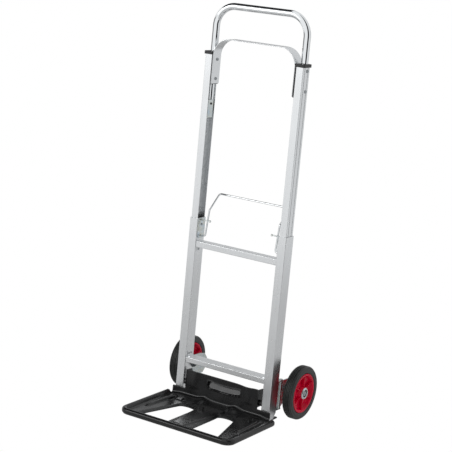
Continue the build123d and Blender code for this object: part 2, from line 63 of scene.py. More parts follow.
# ------------------------------------------------------------------ shapes
def place(node):
    """Lowest and highest corner of a CAD node, as arrays."""
    low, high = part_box(node)
    return np.array(low), np.array(high)


def unit(v):
    """The vector, or each row of vectors, divided by its length."""
    v = np.asarray(v, float)
    return v / np.linalg.norm(v, axis=-1, keepdims=True)


def ramp(low, high, x):
    """0 below low, 1 above high, and 3 t^2 - 2 t^3 between them."""
    t = np.clip((x - low) / (high - low), 0, 1)
    return t * t * (3 - 2 * t)


def quads(rows, columns, close_rows=False, close_columns=False):
    """Faces of a grid numbered row by row; a closed direction joins its last line to its first."""
    row_starts = np.arange(rows if close_rows else rows - 1)
    column_starts = np.arange(columns if close_columns else columns - 1)
    r, c = np.meshgrid(row_starts, column_starts, indexing="ij")
    r2, c2 = (r + 1) % rows, (c + 1) % columns
    corners = [r * columns + c, r * columns + c2, r2 * columns + c2, r2 * columns + c]
    return np.stack(corners, axis=-1).reshape(-1, 4)


def join(*surfaces):
    """Several surfaces as one: points in one array, faces renumbered to match."""
    points, faces, start = [], [], 0
    for some_points, some_faces in surfaces:
        points.append(some_points)
        faces += [f + start for f in some_faces]
        start += len(some_points)
    return np.concatenate(points), faces


def rounded(corners, radii, step=0.5 * MM, closed=False, lead=0.0):
    """A path whose corners are arcs, as (points, directions).

    An arc of radius r touches both runs r / tan(half the corner's angle) away from the corner. Its points
    are centre + r (cos a * out + sin a * along). lead puts one more point on each run, that far from the
    arc.
    """
    corners = np.asarray(corners, float)
    count = len(corners)
    radii = np.broadcast_to(np.asarray(radii, float), count)
    inner = range(count) if closed else range(1, count - 1)
    points, directions = [], []
    if not closed:
        points.append(corners[:1])
        directions.append(unit(corners[1] - corners[0])[None])
    for i in inner:
        corner = corners[i]
        a, b = unit(corners[i - 1] - corner), unit(corners[(i + 1) % count] - corner)
        half = math.acos(float(np.clip(a @ b, -1, 1))) / 2
        r = max(radii[i], 1e-6)
        turn = math.pi - 2 * half
        start = corner + a * r / math.tan(half)
        centre = corner + unit(a + b) * r / math.sin(half)
        angle = np.linspace(0, turn, max(3, math.ceil(r * turn / step) + 1))[:, None]
        out, along = unit(start - centre), -a
        arc = centre + r * (np.cos(angle) * out + np.sin(angle) * along)
        way = np.cos(angle) * along - np.sin(angle) * out
        if lead:
            arc = np.concatenate([arc[:1] + a * lead, arc, arc[-1:] + b * lead])
            way = np.concatenate([way[:1], way, way[-1:]])
        points.append(arc)
        directions.append(way)
    if not closed:
        points.append(corners[-1:])
        directions.append(unit(corners[-1] - corners[-2])[None])
    return np.concatenate(points), np.concatenate(directions)


def box_outline(width, height, radius, lead=0.3 * MM):
    """Closed outline of a rectangle round (0, 0), its corners quarter circles."""
    w, h = width / 2, height / 2
    return rounded([(w, -h), (w, h), (-w, h), (-w, -h)], radius, closed=True, lead=lead, step=radius / 4)[0]


def circle(radius, count):
    """Closed circle round (0, 0)."""
    a = np.arange(count) * 2 * math.pi / count
    return radius * np.stack([np.cos(a), np.sin(a)], axis=1)


def tube(grid):
    """A grid whose rows are closed outlines, as a surface with a flat face on its first and last row."""
    rows, columns = grid.shape[:2]
    ends = np.arange(columns)[None]
    faces = [quads(rows, columns, close_columns=True), ends, ends + (rows - 1) * columns]
    return grid.reshape(-1, 3), faces


def sweep(path, outline, up):
    """A closed outline carried along a path, with flat ends.

    Point = path + u * side + v * lift, where lift is up made square to the path's direction and side is
    direction x lift.
    """
    points, directions = path
    up = np.asarray(up, float)
    lift = unit(up - (directions @ up)[:, None] * directions)
    side = np.cross(directions, lift)
    grid = points[:, None] + outline[None, :, :1] * side[:, None] + outline[None, :, 1:] * lift[:, None]
    return tube(grid)


def straight(outline, axis, low, high):
    """A closed outline carried straight along axis 0, 1 or 2; its columns are the two other axes."""
    return tube(np.stack([np.insert(outline, axis, level, axis=1) for level in (low, high)]))


def turned(section, centre, count=120):
    """A closed section of (x, radius) turned about the line through centre along x."""
    a = (np.arange(count) * 2 * math.pi / count)[:, None]
    x, r = section[None, :, 0], section[None, :, 1]
    grid = np.stack([x + 0 * a, centre[1] + r * np.cos(a), centre[2] + r * np.sin(a)], axis=-1)
    return grid.reshape(-1, 3), [quads(count, len(section), close_rows=True, close_columns=True)]


def link(name, data):
    """A new object in the scene that shows some data."""
    obj = bpy.data.objects.new(name, data)
    bpy.context.scene.collection.objects.link(obj)
    return obj


def piece(name, body, surface, slot, replaces=(), smooth=32.0, finish=None):
    """A mesh object from a surface, riding on a body and standing for CAD nodes.

    Doubles are merged at the seams and faces turned outwards. Edges that turn by more than smooth degrees
    stay sharp. The finish is the slot's own unless another is given.
    """
    points, faces = surface
    mesh = bpy.data.meshes.new(name)
    sizes = np.concatenate([np.full(len(f), f.shape[1]) for f in faces])
    mesh.vertices.add(len(points))
    mesh.vertices.foreach_set("co", points.astype(np.float32).ravel())
    mesh.loops.add(int(sizes.sum()))
    mesh.loops.foreach_set("vertex_index", np.concatenate([f.ravel() for f in faces]).astype(np.int32))
    mesh.polygons.add(len(sizes))
    mesh.polygons.foreach_set("loop_start", (np.cumsum(sizes) - sizes).astype(np.int32))
    mesh.update(calc_edges=True)
    shell = bmesh.new()
    shell.from_mesh(mesh)
    bmesh.ops.remove_doubles(shell, verts=shell.verts, dist=0.002 * MM)
    bmesh.ops.recalc_face_normals(shell, faces=shell.faces)
    shell.to_mesh(mesh)
    shell.free()
    mesh.shade_smooth()
    mesh.set_sharp_from_angle(angle=math.radians(smooth))
    mesh.materials.append(finish or FINISHES[slot])
    obj = link(name, mesh)
    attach(obj, body)
    if replaces:
        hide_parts(*replaces)
    return obj


# ------------------------------------------------------------------ finishes
def linear(colour):
    """An sRGB hex colour as linear red, green, blue and 1."""
    values = [int(colour[i : i + 2], 16) / 255 for i in (1, 3, 5)]
    return [v / 12.92 if v <= 0.04045 else ((v + 0.055) / 1.055) ** 2.4 for v in values] + [1.0]


def add(tree, kind, feeds=None, **settings):
    """Adds a node: settings are its properties, feeds its inputs, as values or as (node, output) links."""
    node = tree.nodes.new(kind)
    for name, value in settings.items():
        setattr(node, name, value)
    for name, value in (feeds or {}).items():
        if isinstance(value, tuple) and isinstance(value[0], bpy.types.Node):
            tree.links.new(value[0].outputs[value[1]], node.inputs[name])
        else:
            node.inputs[name].default_value = value
    return node


def start_material(name, constants):
    """A new material: its node tree and its shader, with the constants set on the shader's own sockets."""
    material = bpy.data.materials.new(name)
    material.use_nodes = True
    shader = material.node_tree.nodes["Principled BSDF"]
    for socket, value in constants.items():
        shader.inputs[socket].default_value = value
    return material, material.node_tree, shader


def grain(tree, size, detail=3.0):
    """Noise on object coordinates whose grains are size long along x, y and z, in metres."""
    spot = add(tree, "ShaderNodeTexCoord")
    scale = [1 / s for s in np.broadcast_to(size, 3)]
    scaled = add(tree, "ShaderNodeMapping", {"Vector": (spot, "Object"), "Scale": scale})
    return add(tree, "ShaderNodeTexNoise", {"Vector": (scaled, "Vector"), "Scale": 1.0, "Detail": detail})


def spread(low, high):
    """Map Range inputs that bring noise, which lies mostly between 0.3 and 0.7, to a range of values."""
    return {"From Min": 0.3, "From Max": 0.7, "To Min": low, "To Max": high}


def tinted(tree, base, tint, noise, most=1.0):
    """A colour that goes from base towards tint, at most that far, as the noise rises."""
    share = add(tree, "ShaderNodeMapRange", {"Value": (noise, 0), **spread(0.0, most)})
    return add(tree, "ShaderNodeMix", {0: (share, 0), 6: base, 7: tint}, data_type="RGBA")


def dress(tree, shader, colour, haze, roughness, height=None, depth=0.0):
    """Links a colour, a roughness that follows the haze noise, and a relief of that depth in metres."""
    rough = add(tree, "ShaderNodeMapRange", {"Value": (haze, 0), **spread(*roughness)})
    tree.links.new(rough.outputs[0], shader.inputs["Roughness"])
    if colour:
        tree.links.new(colour.outputs[2], shader.inputs["Base Color"])
    if height:
        bump = add(tree, "ShaderNodeBump", {"Height": (height, 0), "Distance": depth, "Strength": 1.0})
        tree.links.new(bump.outputs["Normal"], shader.inputs["Normal"])


def anodised_aluminium(name, run):
    """6063 aluminium, extruded and satin anodised: pale, softly shining, with die lines along the bar."""
    material, tree, shader = start_material(name, {"Metallic": 1.0})
    # die lines are 0.05 mm wide on the real bar, drawn 0.9 mm wide so that they show
    size = [0.9 * MM] * 3
    size[run] = 260 * MM
    lines = grain(tree, size, 2.0)
    clouds = grain(tree, (45 * MM, 45 * MM, 90 * MM))
    colour = tinted(tree, linear("#DADCDD"), linear("#E3E4E5"), lines)
    dress(tree, shader, colour, clouds, (0.24, 0.31), lines, 0.0015 * MM)
    return material


def polished_chrome():
    """Bright chrome plate on bent steel tube and wire: mirror clear, with faint wiping haze."""
    constants = {"Metallic": 1.0, "Base Color": linear("#E9EBEC")}
    material, tree, shader = start_material("polished_chrome_plate", constants)
    haze = grain(tree, (25 * MM, 25 * MM, 60 * MM))
    dress(tree, shader, None, haze, (0.02, 0.06))
    return material


def bright_zinc():
    """Clear-passivated zinc electroplate on pressed steel: bluish white with faint straw clouds."""
    material, tree, shader = start_material("bright_zinc_plate", {"Metallic": 1.0})
    clouds = grain(tree, 16 * MM, 4.0)
    patches = grain(tree, (7 * MM, 9 * MM, 12 * MM))
    blue = tinted(tree, linear("#B4C3D0"), linear("#D6DCE0"), clouds)
    straw = tinted(tree, (blue, 2), linear("#CFCDBB"), patches, 0.7)
    dress(tree, shader, straw, patches, (0.18, 0.32), clouds, 0.03 * MM)
    return material


def rivet_steel():
    """Cold-headed steel: grey, lightly dulled metal."""
    material, tree, shader = start_material("headed_rivet_steel", {"Metallic": 1.0})
    wear = grain(tree, 2.5 * MM)
    colour = tinted(tree, linear("#8F9496"), linear("#B9BCBE"), wear)
    dress(tree, shader, colour, wear, (0.30, 0.46))
    return material


def black_nylon():
    """Injection-moulded nylon: deep black with a fine eroded grain that breaks up its sheen."""
    material, tree, shader = start_material("moulded_black_nylon", {"IOR": 1.53})
    # spark-eroded grain is 0.1 mm, drawn at 0.5 mm so that it shows
    fine = grain(tree, 0.5 * MM, 2.0)
    flow = grain(tree, 9 * MM)
    colour = tinted(tree, linear("#0E0E0F"), linear("#1B1B1C"), flow)
    dress(tree, shader, colour, fine, (0.38, 0.52), fine, 0.02 * MM)
    return material


def black_powder_coat():
    """Semi-gloss black powder coat, baked on pressed steel: broad highlights and a slight orange peel."""
    material, tree, shader = start_material("baked_black_powder_coat", {"IOR": 1.5})
    # orange peel is 1 to 3 mm across
    peel = grain(tree, 2.6 * MM, 1.0)
    scuffs = grain(tree, 30 * MM)
    colour = tinted(tree, linear("#0B0B0C"), linear("#111112"), scuffs)
    dress(tree, shader, colour, scuffs, (0.24, 0.31), peel, 0.004 * MM)
    return material


def tyre_rubber():
    """Moulded solid rubber: dark grey-black with a dry bloom and a fine mould texture."""
    material, tree, shader = start_material("moulded_tyre_rubber", {"IOR": 1.5})
    bloom = grain(tree, 14 * MM, 5.0)
    # mould texture is 0.2 mm, drawn at 0.7 mm so that it shows
    fine = grain(tree, 0.7 * MM, 2.0)
    colour = tinted(tree, linear("#151615"), linear("#232523"), bloom)
    dress(tree, shader, colour, bloom, (0.36, 0.48), fine, 0.012 * MM)
    return material


def red_polypropylene():
    """Injection-moulded polypropylene, dyed crimson through: a waxy gloss with faint flow clouds."""
    constants = {"IOR": 1.49, "Specular IOR Level": 0.15}
    material, tree, shader = start_material("moulded_red_polypropylene", constants)
    flow = grain(tree, 18 * MM)
    # mould texture is 0.2 mm, drawn at 0.8 mm so that it shows
    fine = grain(tree, 0.8 * MM, 2.0)
    colour = tinted(tree, linear("#C8002C"), linear("#D80438"), flow)
    dress(tree, shader, colour, flow, (0.22, 0.30), fine, 0.01 * MM)
    return material


FINISHES = {
    "anodised_aluminium": anodised_aluminium("anodised_extrusion_upright", 2),
    "zinc_plated_steel": bright_zinc(),
    "rivet_steel": rivet_steel(),
    "chrome_steel": polished_chrome(),
    "black_nylon": black_nylon(),
    "black_powder_coat": black_powder_coat(),
    "tyre_rubber": tyre_rubber(),
    "red_polypropylene": red_polypropylene(),
}
BAR_FINISH = anodised_aluminium("anodised_extrusion_across", 0)


# ------------------------------------------------------------------ rails
def lower_rail(side):
    """Box rail: a rounded box outline carried up, with a wall, its foot cut back at the rear corner."""
    low, high = place(side + "_lower_rail")
    centre = (low + high)[:2] / 2
    width, depth = (high - low)[:2]
    wall, corner, lip = 1.5 * MM, 1.9 * MM, 0.35 * MM
    outer = box_outline(width, depth, corner)
    inner = box_outline(width - 2 * wall, depth - 2 * wall, corner - wall + 0.3 * MM)
    cut_from, cut_rise, cut_run = 54 * MM, 17 * MM, 14 * MM

    def ring(outline, z, foot=False):
        """The outline at a height; at the foot it rises towards the rear in a straight slope."""
        points = np.column_stack([outline + centre, np.full(len(outline), z)])
        if foot:
            points[:, 2] += cut_rise * np.clip((points[:, 1] - cut_from) / cut_run, 0, 1)
        return points

    def split(outline):
        """The outline with each run cut in eight, so that the cut-back foot starts where it should."""
        ends = np.roll(outline, -1, axis=0)
        return np.concatenate([np.linspace(a, b, 9)[:-1] for a, b in zip(outline, ends)])

    outer, inner = split(outer), split(inner)
    edge = outer * [(width - 2 * lip) / width, (depth - 2 * lip) / depth]
    rings = [
        ring(outer, low[2], True),
        ring(outer, high[2] - lip),
        ring(edge, high[2]),
        ring(inner, high[2]),
        ring(inner, low[2], True),
    ]
    surface = np.concatenate(rings), [quads(len(rings), len(outer), close_rows=True, close_columns=True)]
    piece(side + "_rail_box", "frame", surface, "anodised_aluminium", [side + "_lower_rail"])


def crossbar(name):
    """Crossbar: a rounded box outline carried from rail to rail."""
    low, high = place(name)
    outline = box_outline(high[1] - low[1], high[2] - low[2], 1.4 * MM) + (low + high)[1:] / 2
    surface = straight(outline, 0, low[0], high[0])
    piece(name + "_bar", "frame", surface, "anodised_aluminium", [name], finish=BAR_FINISH)


def mid_rail(side, s):
    """C rail open inboard: its outline has two shallow grooves beside a middle band on the outer face."""
    low, high = place(side + "_mid_rail")
    inner_x, outer_x = (low[0], high[0]) if s > 0 else (high[0], low[0])
    y0, y1 = low[1], high[1]
    middle, band = (y0 + y1) / 2, 7.5 * MM
    wall, groove = 1.2 * MM, 0.6 * MM

    def x(depth):
        """The x that lies this deep behind the outer face."""
        return outer_x - s * depth

    # each groove as (distance outwards from the band's edge, depth)
    profile = [(1.6 * MM, 0), (1.0 * MM, groove), (0, groove), (-0.6 * MM, 0)]
    face = [(middle - band - out, depth) for out, depth in profile]
    face += [(middle + band + out, depth) for out, depth in profile[::-1]]
    outline = [(inner_x, y0), (x(0), y0)]
    outline += [(x(depth), y) for y, depth in face]
    outline += [(x(0), y1), (inner_x, y1), (inner_x, y1 - wall), (x(wall), y1 - wall)]
    outline += [(x(wall), y0 + wall), (inner_x, y0 + wall)]
    radii = np.array([0.4, 1.1] + [0.2] * len(face) + [1.1, 0.4, 0.4, 0.3, 0.3, 0.4]) * MM
    loop = rounded(outline, radii, step=0.2 * MM, closed=True, lead=0.05 * MM)[0]
    surface = straight(loop, 2, low[2], high[2])
    piece(side + "_rail_channel", "mid_frame", surface, "anodised_aluminium", [side + "_mid_rail"])


def top_strap():
    """Flat bar, 38 by 2 mm with rolled edges, bent over the two rails with round shoulders."""
    low, high = place("top_strap")
    t = 2 * MM
    x, top, y = high[0] - t / 2, high[2] - t / 2, (low[1] + high[1]) / 2
    corners = [(-x, y, low[2]), (-x, y, top), (x, y, top), (x, y, low[2])]
    path = rounded(corners, 47 * MM, step=3 * MM)
    outline = box_outline(t, high[1] - low[1], 0.9 * MM, lead=0.1 * MM)
    surface = sweep(path, outline, (0, 1, 0))
    piece("strap_bar", "mid_frame", surface, "anodised_aluminium", ["top_strap"], finish=BAR_FINISH)


def handle():
    """Chrome tube: a circle carried up one leg, over and down the other."""
    low, high = place("handle_tube")
    r = (high[1] - low[1]) / 2
    x, y, top = high[0] - r, (low[1] + high[1]) / 2, high[2] - r
    corners = [(-x, y, low[2]), (-x, y, top), (x, y, top), (x, y, low[2])]
    path = rounded(corners, 56 * MM, step=2 * MM)
    surface = sweep(path, circle(r, 48), (0, 1, 0))
    piece("handle_bow", "handle", surface, "chrome_steel", ["handle_tube"])


def bail():
    """Release bail: a 4.8 mm wire bent up and back, hooked into the rails at both ends."""
    high = place("release_bail")[1]
    r = 2.4 * MM
    foot, leg, y, z = high[0], 113 * MM, 48 * MM, 468 * MM
    half = [(foot, y, z), (leg, y, z), (leg, y + 11 * MM, z + 73 * MM), (leg, high[1] - r, high[2] - r)]
    corners = [(-a, b, c) for a, b, c in half] + half[::-1]
    path = rounded(corners, 7 * MM, step=1 * MM)
    surface = sweep(path, circle(r, 20), (0, -0.8, 0.6))
    piece("bail_wire", "bail", surface, "chrome_steel", ["release_bail"])


# ------------------------------------------------------------------ wheels
def tyre(side):
    """Solid tyre: a rounded section turned about the axle, with ring grooves and fine slanting bars.

    On the tread the radius is R, less 1.8 mm in rings 4.4 mm apart, and less 0.35 mm between the rings
    where sin(72 * (angle + |x| / 30 mm)) is high.
    """
    low, high = place(side + "_tyre")
    centre = (low + high) / 2
    radius = (high[2] - low[2]) / 2
    half = (high[0] - low[0]) / 2
    bead, inner, shoulder = 55.5 * MM, 50 * MM, 5.5 * MM
    corners = [
        (-half, bead + 3 * MM),
        (-half, radius - 9 * MM),
        (-half + 0.9 * MM, radius - 8.2 * MM),
        (-half + 0.5 * MM, radius - 3.4 * MM),
        (-half + shoulder, radius),
        (half - shoulder, radius),
        (half - 0.5 * MM, radius - 3.4 * MM),
        (half - 0.9 * MM, radius - 8.2 * MM),
        (half, radius - 9 * MM),
        (half, bead + 3 * MM),
        (half - 3 * MM, bead - 0.2 * MM),
        (half - 4 * MM, inner),
        (-half + 4 * MM, inner),
        (-half + 3 * MM, bead - 0.2 * MM),
    ]
    radii = np.array([1.2, 0.5, 0.4, 2.4, 3, 3, 2.4, 0.4, 0.5, 1.2, 0.8, 0.5, 0.5, 0.8]) * MM
    section = rounded(corners, radii, step=0.4 * MM, closed=True)[0]
    # the tread band gets its own closely spaced points
    tread_half = half - shoulder - 1.6 * MM
    on_top = np.abs(section[:, 1] - radius) < 1e-7
    section = section[~(on_top & (np.abs(section[:, 0]) < tread_half))]
    left = np.flatnonzero((section[:, 0] < 0) & (section[:, 1] > radius - 1e-7)).max()
    across = np.linspace(-tread_half, tread_half, 49)
    band = np.column_stack([across, np.full(len(across), radius)])
    section = np.concatenate([section[: left + 1], band, section[left + 1 :]])

    steps_round, bars, bar_slant = 540, 72, 30 * MM
    ring_spacing, ring_depth, bar_depth = 4.4 * MM, 1.8 * MM, 0.35 * MM
    points, faces = turned(section, centre, steps_round)
    x, y, z = np.moveaxis(points.reshape(steps_round, len(section), 3), -1, 0)
    angle = np.arctan2(z - centre[2], y - centre[1])
    r = np.hypot(y - centre[1], z - centre[2])
    on_tread = ramp(radius - 3.5 * MM, radius - 1.5 * MM, r)
    bar = ramp(0.2, 0.8, np.sin(bars * (angle + np.abs(x) / bar_slant)))
    ring = ramp(0.0, 0.6, -np.cos(x * 2 * math.pi / ring_spacing))
    r = r - on_tread * (ring_depth * ring + bar_depth * (1 - ring) * bar)
    grid = np.stack([x + centre[0], centre[1] + r * np.cos(angle), centre[2] + r * np.sin(angle)], axis=-1)
    surface = grid.reshape(-1, 3), faces
    piece(side + "_solid_tyre", side + "_wheel", surface, "tyre_rubber", [side + "_tyre"], 50)


def hub(side, s):
    """Red hub: rim ring, dished disc and boss in one turned section, with six thin ribs on each face."""
    low, high = place(side + "_wheel_hub")
    axle = (low + high) / 2
    out_x = high[0] if s > 0 else low[0]

    def x(depth):
        """The x that lies this deep behind the boss's outer face."""
        return out_x - s * depth * MM

    # depth behind the boss face in mm, radius in mm
    corners = [(0.7, 9.05), (0, 9.6), (0, 16.5), (9.5, 19.5), (10.6, 27), (9.4, 44.5), (0.9, 49.0)]
    corners += [(0.3, 51.2), (0.3, 55.2), (2.2, 55.2), (3.6, 49.9), (24.0, 49.9), (25.6, 55.2), (26.8, 55.2)]
    corners += [(26.8, 50.8), (18.6, 45.0), (17.4, 27), (18.6, 19.5), (29.4, 16.2), (29.4, 9.05)]
    radii = [0.2, 0.5, 0.9, 1.5, 6, 3.4, 1.0, 0.9, 0.9, 0.2, 0.2, 0.2, 0.2, 0.6, 1.2, 3, 6, 2, 0.9, 0.3]
    loop = [(x(depth), radius * MM) for depth, radius in corners]
    section = rounded(loop, np.array(radii) * MM, step=0.45 * MM, closed=True)[0]
    parts = [turned(section, axle, 144)]
    # the ribs' edges dip between the boss and the rim: radius and dip in mm
    stations = ((16.0, 0.0), (22, 1.0), (30, 1.8), (38, 1.8), (44, 1.2), (48.6, 0.5))
    ribs, rib_width, edge_radius = 6, 2.0 * MM, 0.6 * MM
    along_axle = np.array([1.0, 0, 0])
    for k in range(ribs):
        a = math.radians(360 / ribs * k + 30)
        way = np.array([0, math.cos(a), math.sin(a)])
        across = np.cross(along_axle, way)
        # outer face, then inner face: the rib's free edge and its foot in the disc, in mm
        for edge_at, foot, inward in ((0.8, 10.4, 1), (28.4, 17.8, -1)):
            rows = []
            for radius, dip in stations:
                edge = edge_at + inward * dip
                rib = box_outline(abs(edge - foot) * MM, rib_width, edge_radius, lead=0.1 * MM)
                centre = axle + way * radius * MM
                centre[0] = x((edge + foot) / 2)
                rows.append(centre + rib[:, :1] * along_axle + rib[:, 1:] * across)
            parts.append(tube(np.stack(rows)))
    name = side + "_hub_moulding"
    piece(name, side + "_wheel", join(*parts), "red_polypropylene", [side + "_wheel_hub"])


def hub_cap(side, s):
    """Steel push cap: a domed ring turned about the axle, with a black nylon ring sunk round the axle's end
    as painted shade in the cap's hollow.
    """
    low, high = place(side + "_hub_cap")
    centre = (low + high) / 2
    face = high[0] if s > 0 else low[0]

    def section(corners, radii):
        """Closed section from corners given as (depth behind the face, radius) in mm."""
        points = [(face - s * depth * MM, radius * MM) for depth, radius in corners]
        return rounded(points, np.array(radii) * MM, step=0.3 * MM, closed=True)[0]

    ring = section(
        [(4.5, 16.3), (2.6, 16.3), (0.4, 13.8), (0.0, 12.6), (0.4, 11.2), (1.6, 10.6), (4.5, 10.6)],
        [0.2, 0.9, 1.2, 0.8, 0.6, 0.4, 0.2],
    )
    wheel = side + "_wheel"
    piece(side + "_push_cap", wheel, turned(ring, centre, 72), "zinc_plated_steel", [side + "_hub_cap"])
    # painted shade: a black ring sunk in the cap's hole, over the light clip, that darkens the hollow round
    # the axle's end
    painted_shade_ring = section(
        [(4.6, 10.5), (2.8, 10.5), (2.2, 9.6), (2.2, 6.6), (4.6, 6.4)],
        [0.1, 0.4, 0.4, 0.3, 0.1],
    )
    piece(side + "_cap_painted_shade_ring", wheel, turned(painted_shade_ring, centre, 72), "black_nylon")


# ------------------------------------------------------------------ toe plate
PANEL_Y = 24 * MM
FILLET = 6 * MM
SHEET_TOP = 9 * MM
RIM_BAND = 17 * MM
WALL = 1.8 * MM


def soft_least(*fields, soft=2.0 * MM):
    """A rounded smallest value of several fields: -soft * log(sum(exp(-field / soft)))."""
    stacked = -np.stack(fields) / soft
    largest = stacked.max(0)
    return -soft * (largest + np.log(np.exp(stacked - largest).sum(0)))


def window_field(x, y):
    """Distance from the two window outlines, negative inside: a rounded wedge on each side of the middle.

    Inside is where the inner, front, rear and slanting outer edges all lie outwards of the point.
    """
    ax = np.abs(x)
    inner = ax - 40 * MM
    front = y + 178 * MM - 5 * MM * ((ax - 80 * MM) / (42 * MM)) ** 2
    rear = -36 * MM - y - 5 * MM * ((ax - 64 * MM) / (24 * MM)) ** 2
    outer = (122.5 * MM - ax) * 0.967 - (y + 176 * MM) * 0.254
    return -soft_least(inner, front, rear, outer, soft=2.6 * MM)


def hill(x, at, width):
    """exp(-((x - at) / width) squared)."""
    return np.exp(-(((x - at) / width) ** 2))


def rear_rise(x):
    """Height at which the sheet meets the upstand's fillet.

    It is 15.5 mm, plus two swellings of 5.5 mm beside the middle, less 3.5 mm at the ends.
    """
    ax = np.abs(x) / MM
    return (15.5 + 5.5 * hill(ax, 52, 17) - 3.5 * ramp(128, 160, ax)) * MM


def bump(x, y, at, size, edge):
    """1 inside a box round a point, 0 outside it, smooth over its edge; sizes are half widths in mm."""
    u = 1 - ramp(size[0] * MM, (size[0] + edge) * MM, np.abs(x - at[0] * MM))
    v = 1 - ramp(size[1] * MM, (size[1] + edge) * MM, np.abs(y - at[1] * MM))
    return u * v


def toe_height(x, y, rim):
    """Height of the pressed sheet's top above the floor; rim is the distance from the plate's outline.

    It is the flat sheet, plus a lift towards the rim, a raised tongue that widens to the rear, two long
    side ribs, small pads and the rise to the upstand, less the slope down into each window.
    """
    ax = np.abs(x)
    z = SHEET_TOP + 1.6 * MM * (1 - ramp(RIM_BAND, RIM_BAND + 10 * MM, rim))
    # tongue between the windows, its half width growing from front to back
    half = (17 + 18 * ramp(-180, -20, y / MM)) * MM
    z += 3.4 * MM * (1 - ramp(0, 7 * MM, ax - half)) * ramp(-190 * MM, -176 * MM, y)
    # slope into the windows, wide beside the tongue and at the rear
    d = window_field(x, y)
    slope = 10 * MM + 6 * MM * (1 - ramp(38 * MM, 50 * MM, ax)) * ramp(-190 * MM, -150 * MM, y)
    z -= 4.2 * MM * np.clip(1 - np.maximum(d, 0) / slope, 0, 1) ** 1.3
    # side ribs
    along = ramp(-130 * MM, -100 * MM, y) * (1 - ramp(-14 * MM, 6 * MM, y))
    lean = ax - (143 - 0.05 * (y / MM + 60)) * MM
    z += 4.4 * MM * along * (ramp(-9 * MM, -1 * MM, lean) - ramp(1 * MM, 9 * MM, lean))
    # pads near the rear corners and a pocket beside them
    z += 2.6 * MM * bump(ax, y, (112, -10), (8, 7), 3)
    z -= 2.4 * MM * bump(ax, y, (127, -16), (3.5, 14), 4)
    z += 1.6 * MM * bump(ax, y, (72, -14), (7, 5), 4)
    # short slanting pad on the tongue
    cos, sin = math.cos(math.radians(30)), math.sin(math.radians(30))
    px, py = x + 17 * MM, y + 47 * MM
    z += 2.2 * MM * bump(px * cos + py * sin, py * cos - px * sin, (0, 0), (6, 20), 2)
    z += (rear_rise(x) - SHEET_TOP) * ramp(-16 * MM, 17 * MM, y)
    return z


def trimmed(u, v, field, cell):
    """Triangles of a grid where a field is positive, as ((u, v) rows, faces).

    Points within about half a cell of the outline are moved onto it along the field's slope, and each cell
    is cut along the diagonal whose ends lie nearer to the outline, so the edge is clean.
    """
    rows, columns = field.shape
    slope_v, slope_u = np.gradient(field)
    slope_u, slope_v = slope_u / np.gradient(u, axis=1), slope_v / np.gradient(v, axis=0)
    size = slope_u**2 + slope_v**2 + 1e-9
    near = np.abs(field) / np.sqrt(size) < 0.55 * cell
    u = u - np.where(near, field * slope_u / size, 0)
    v = v - np.where(near, field * slope_v / size, 0)
    flat, face = np.where(near, 0, field).ravel(), quads(rows, columns)
    a, b, c, d = face.T
    reach = np.abs(flat)[face]
    split = ((reach[:, 0] + reach[:, 2]) > (reach[:, 1] + reach[:, 3]))[:, None]
    first = np.where(split, np.stack([a, b, d], 1), np.stack([a, b, c], 1))
    second = np.where(split, np.stack([b, c, d], 1), np.stack([a, c, d], 1))
    faces = np.concatenate([first, second])
    faces = faces[(flat[faces] >= 0).all(1) & (flat[faces].max(1) > 0)]
    used, numbered = np.unique(faces, return_inverse=True)
    return np.column_stack([u.ravel(), v.ravel()])[used], numbered.reshape(faces.shape)


def grip_field(x, z):
    """Distance from the grip recess's outline, positive inside: a bent oblong whose middle sags."""
    middle = 8 * MM
    sag = 59.6 * MM + 3.2 * MM * ((x - middle) / (50 * MM)) ** 2
    tall = (9.6 + 1.6 * hill(x / MM, -34, 9)) * MM
    return soft_least(tall - np.abs(z - sag), 54 * MM - np.abs(x - middle), soft=2.4 * MM)


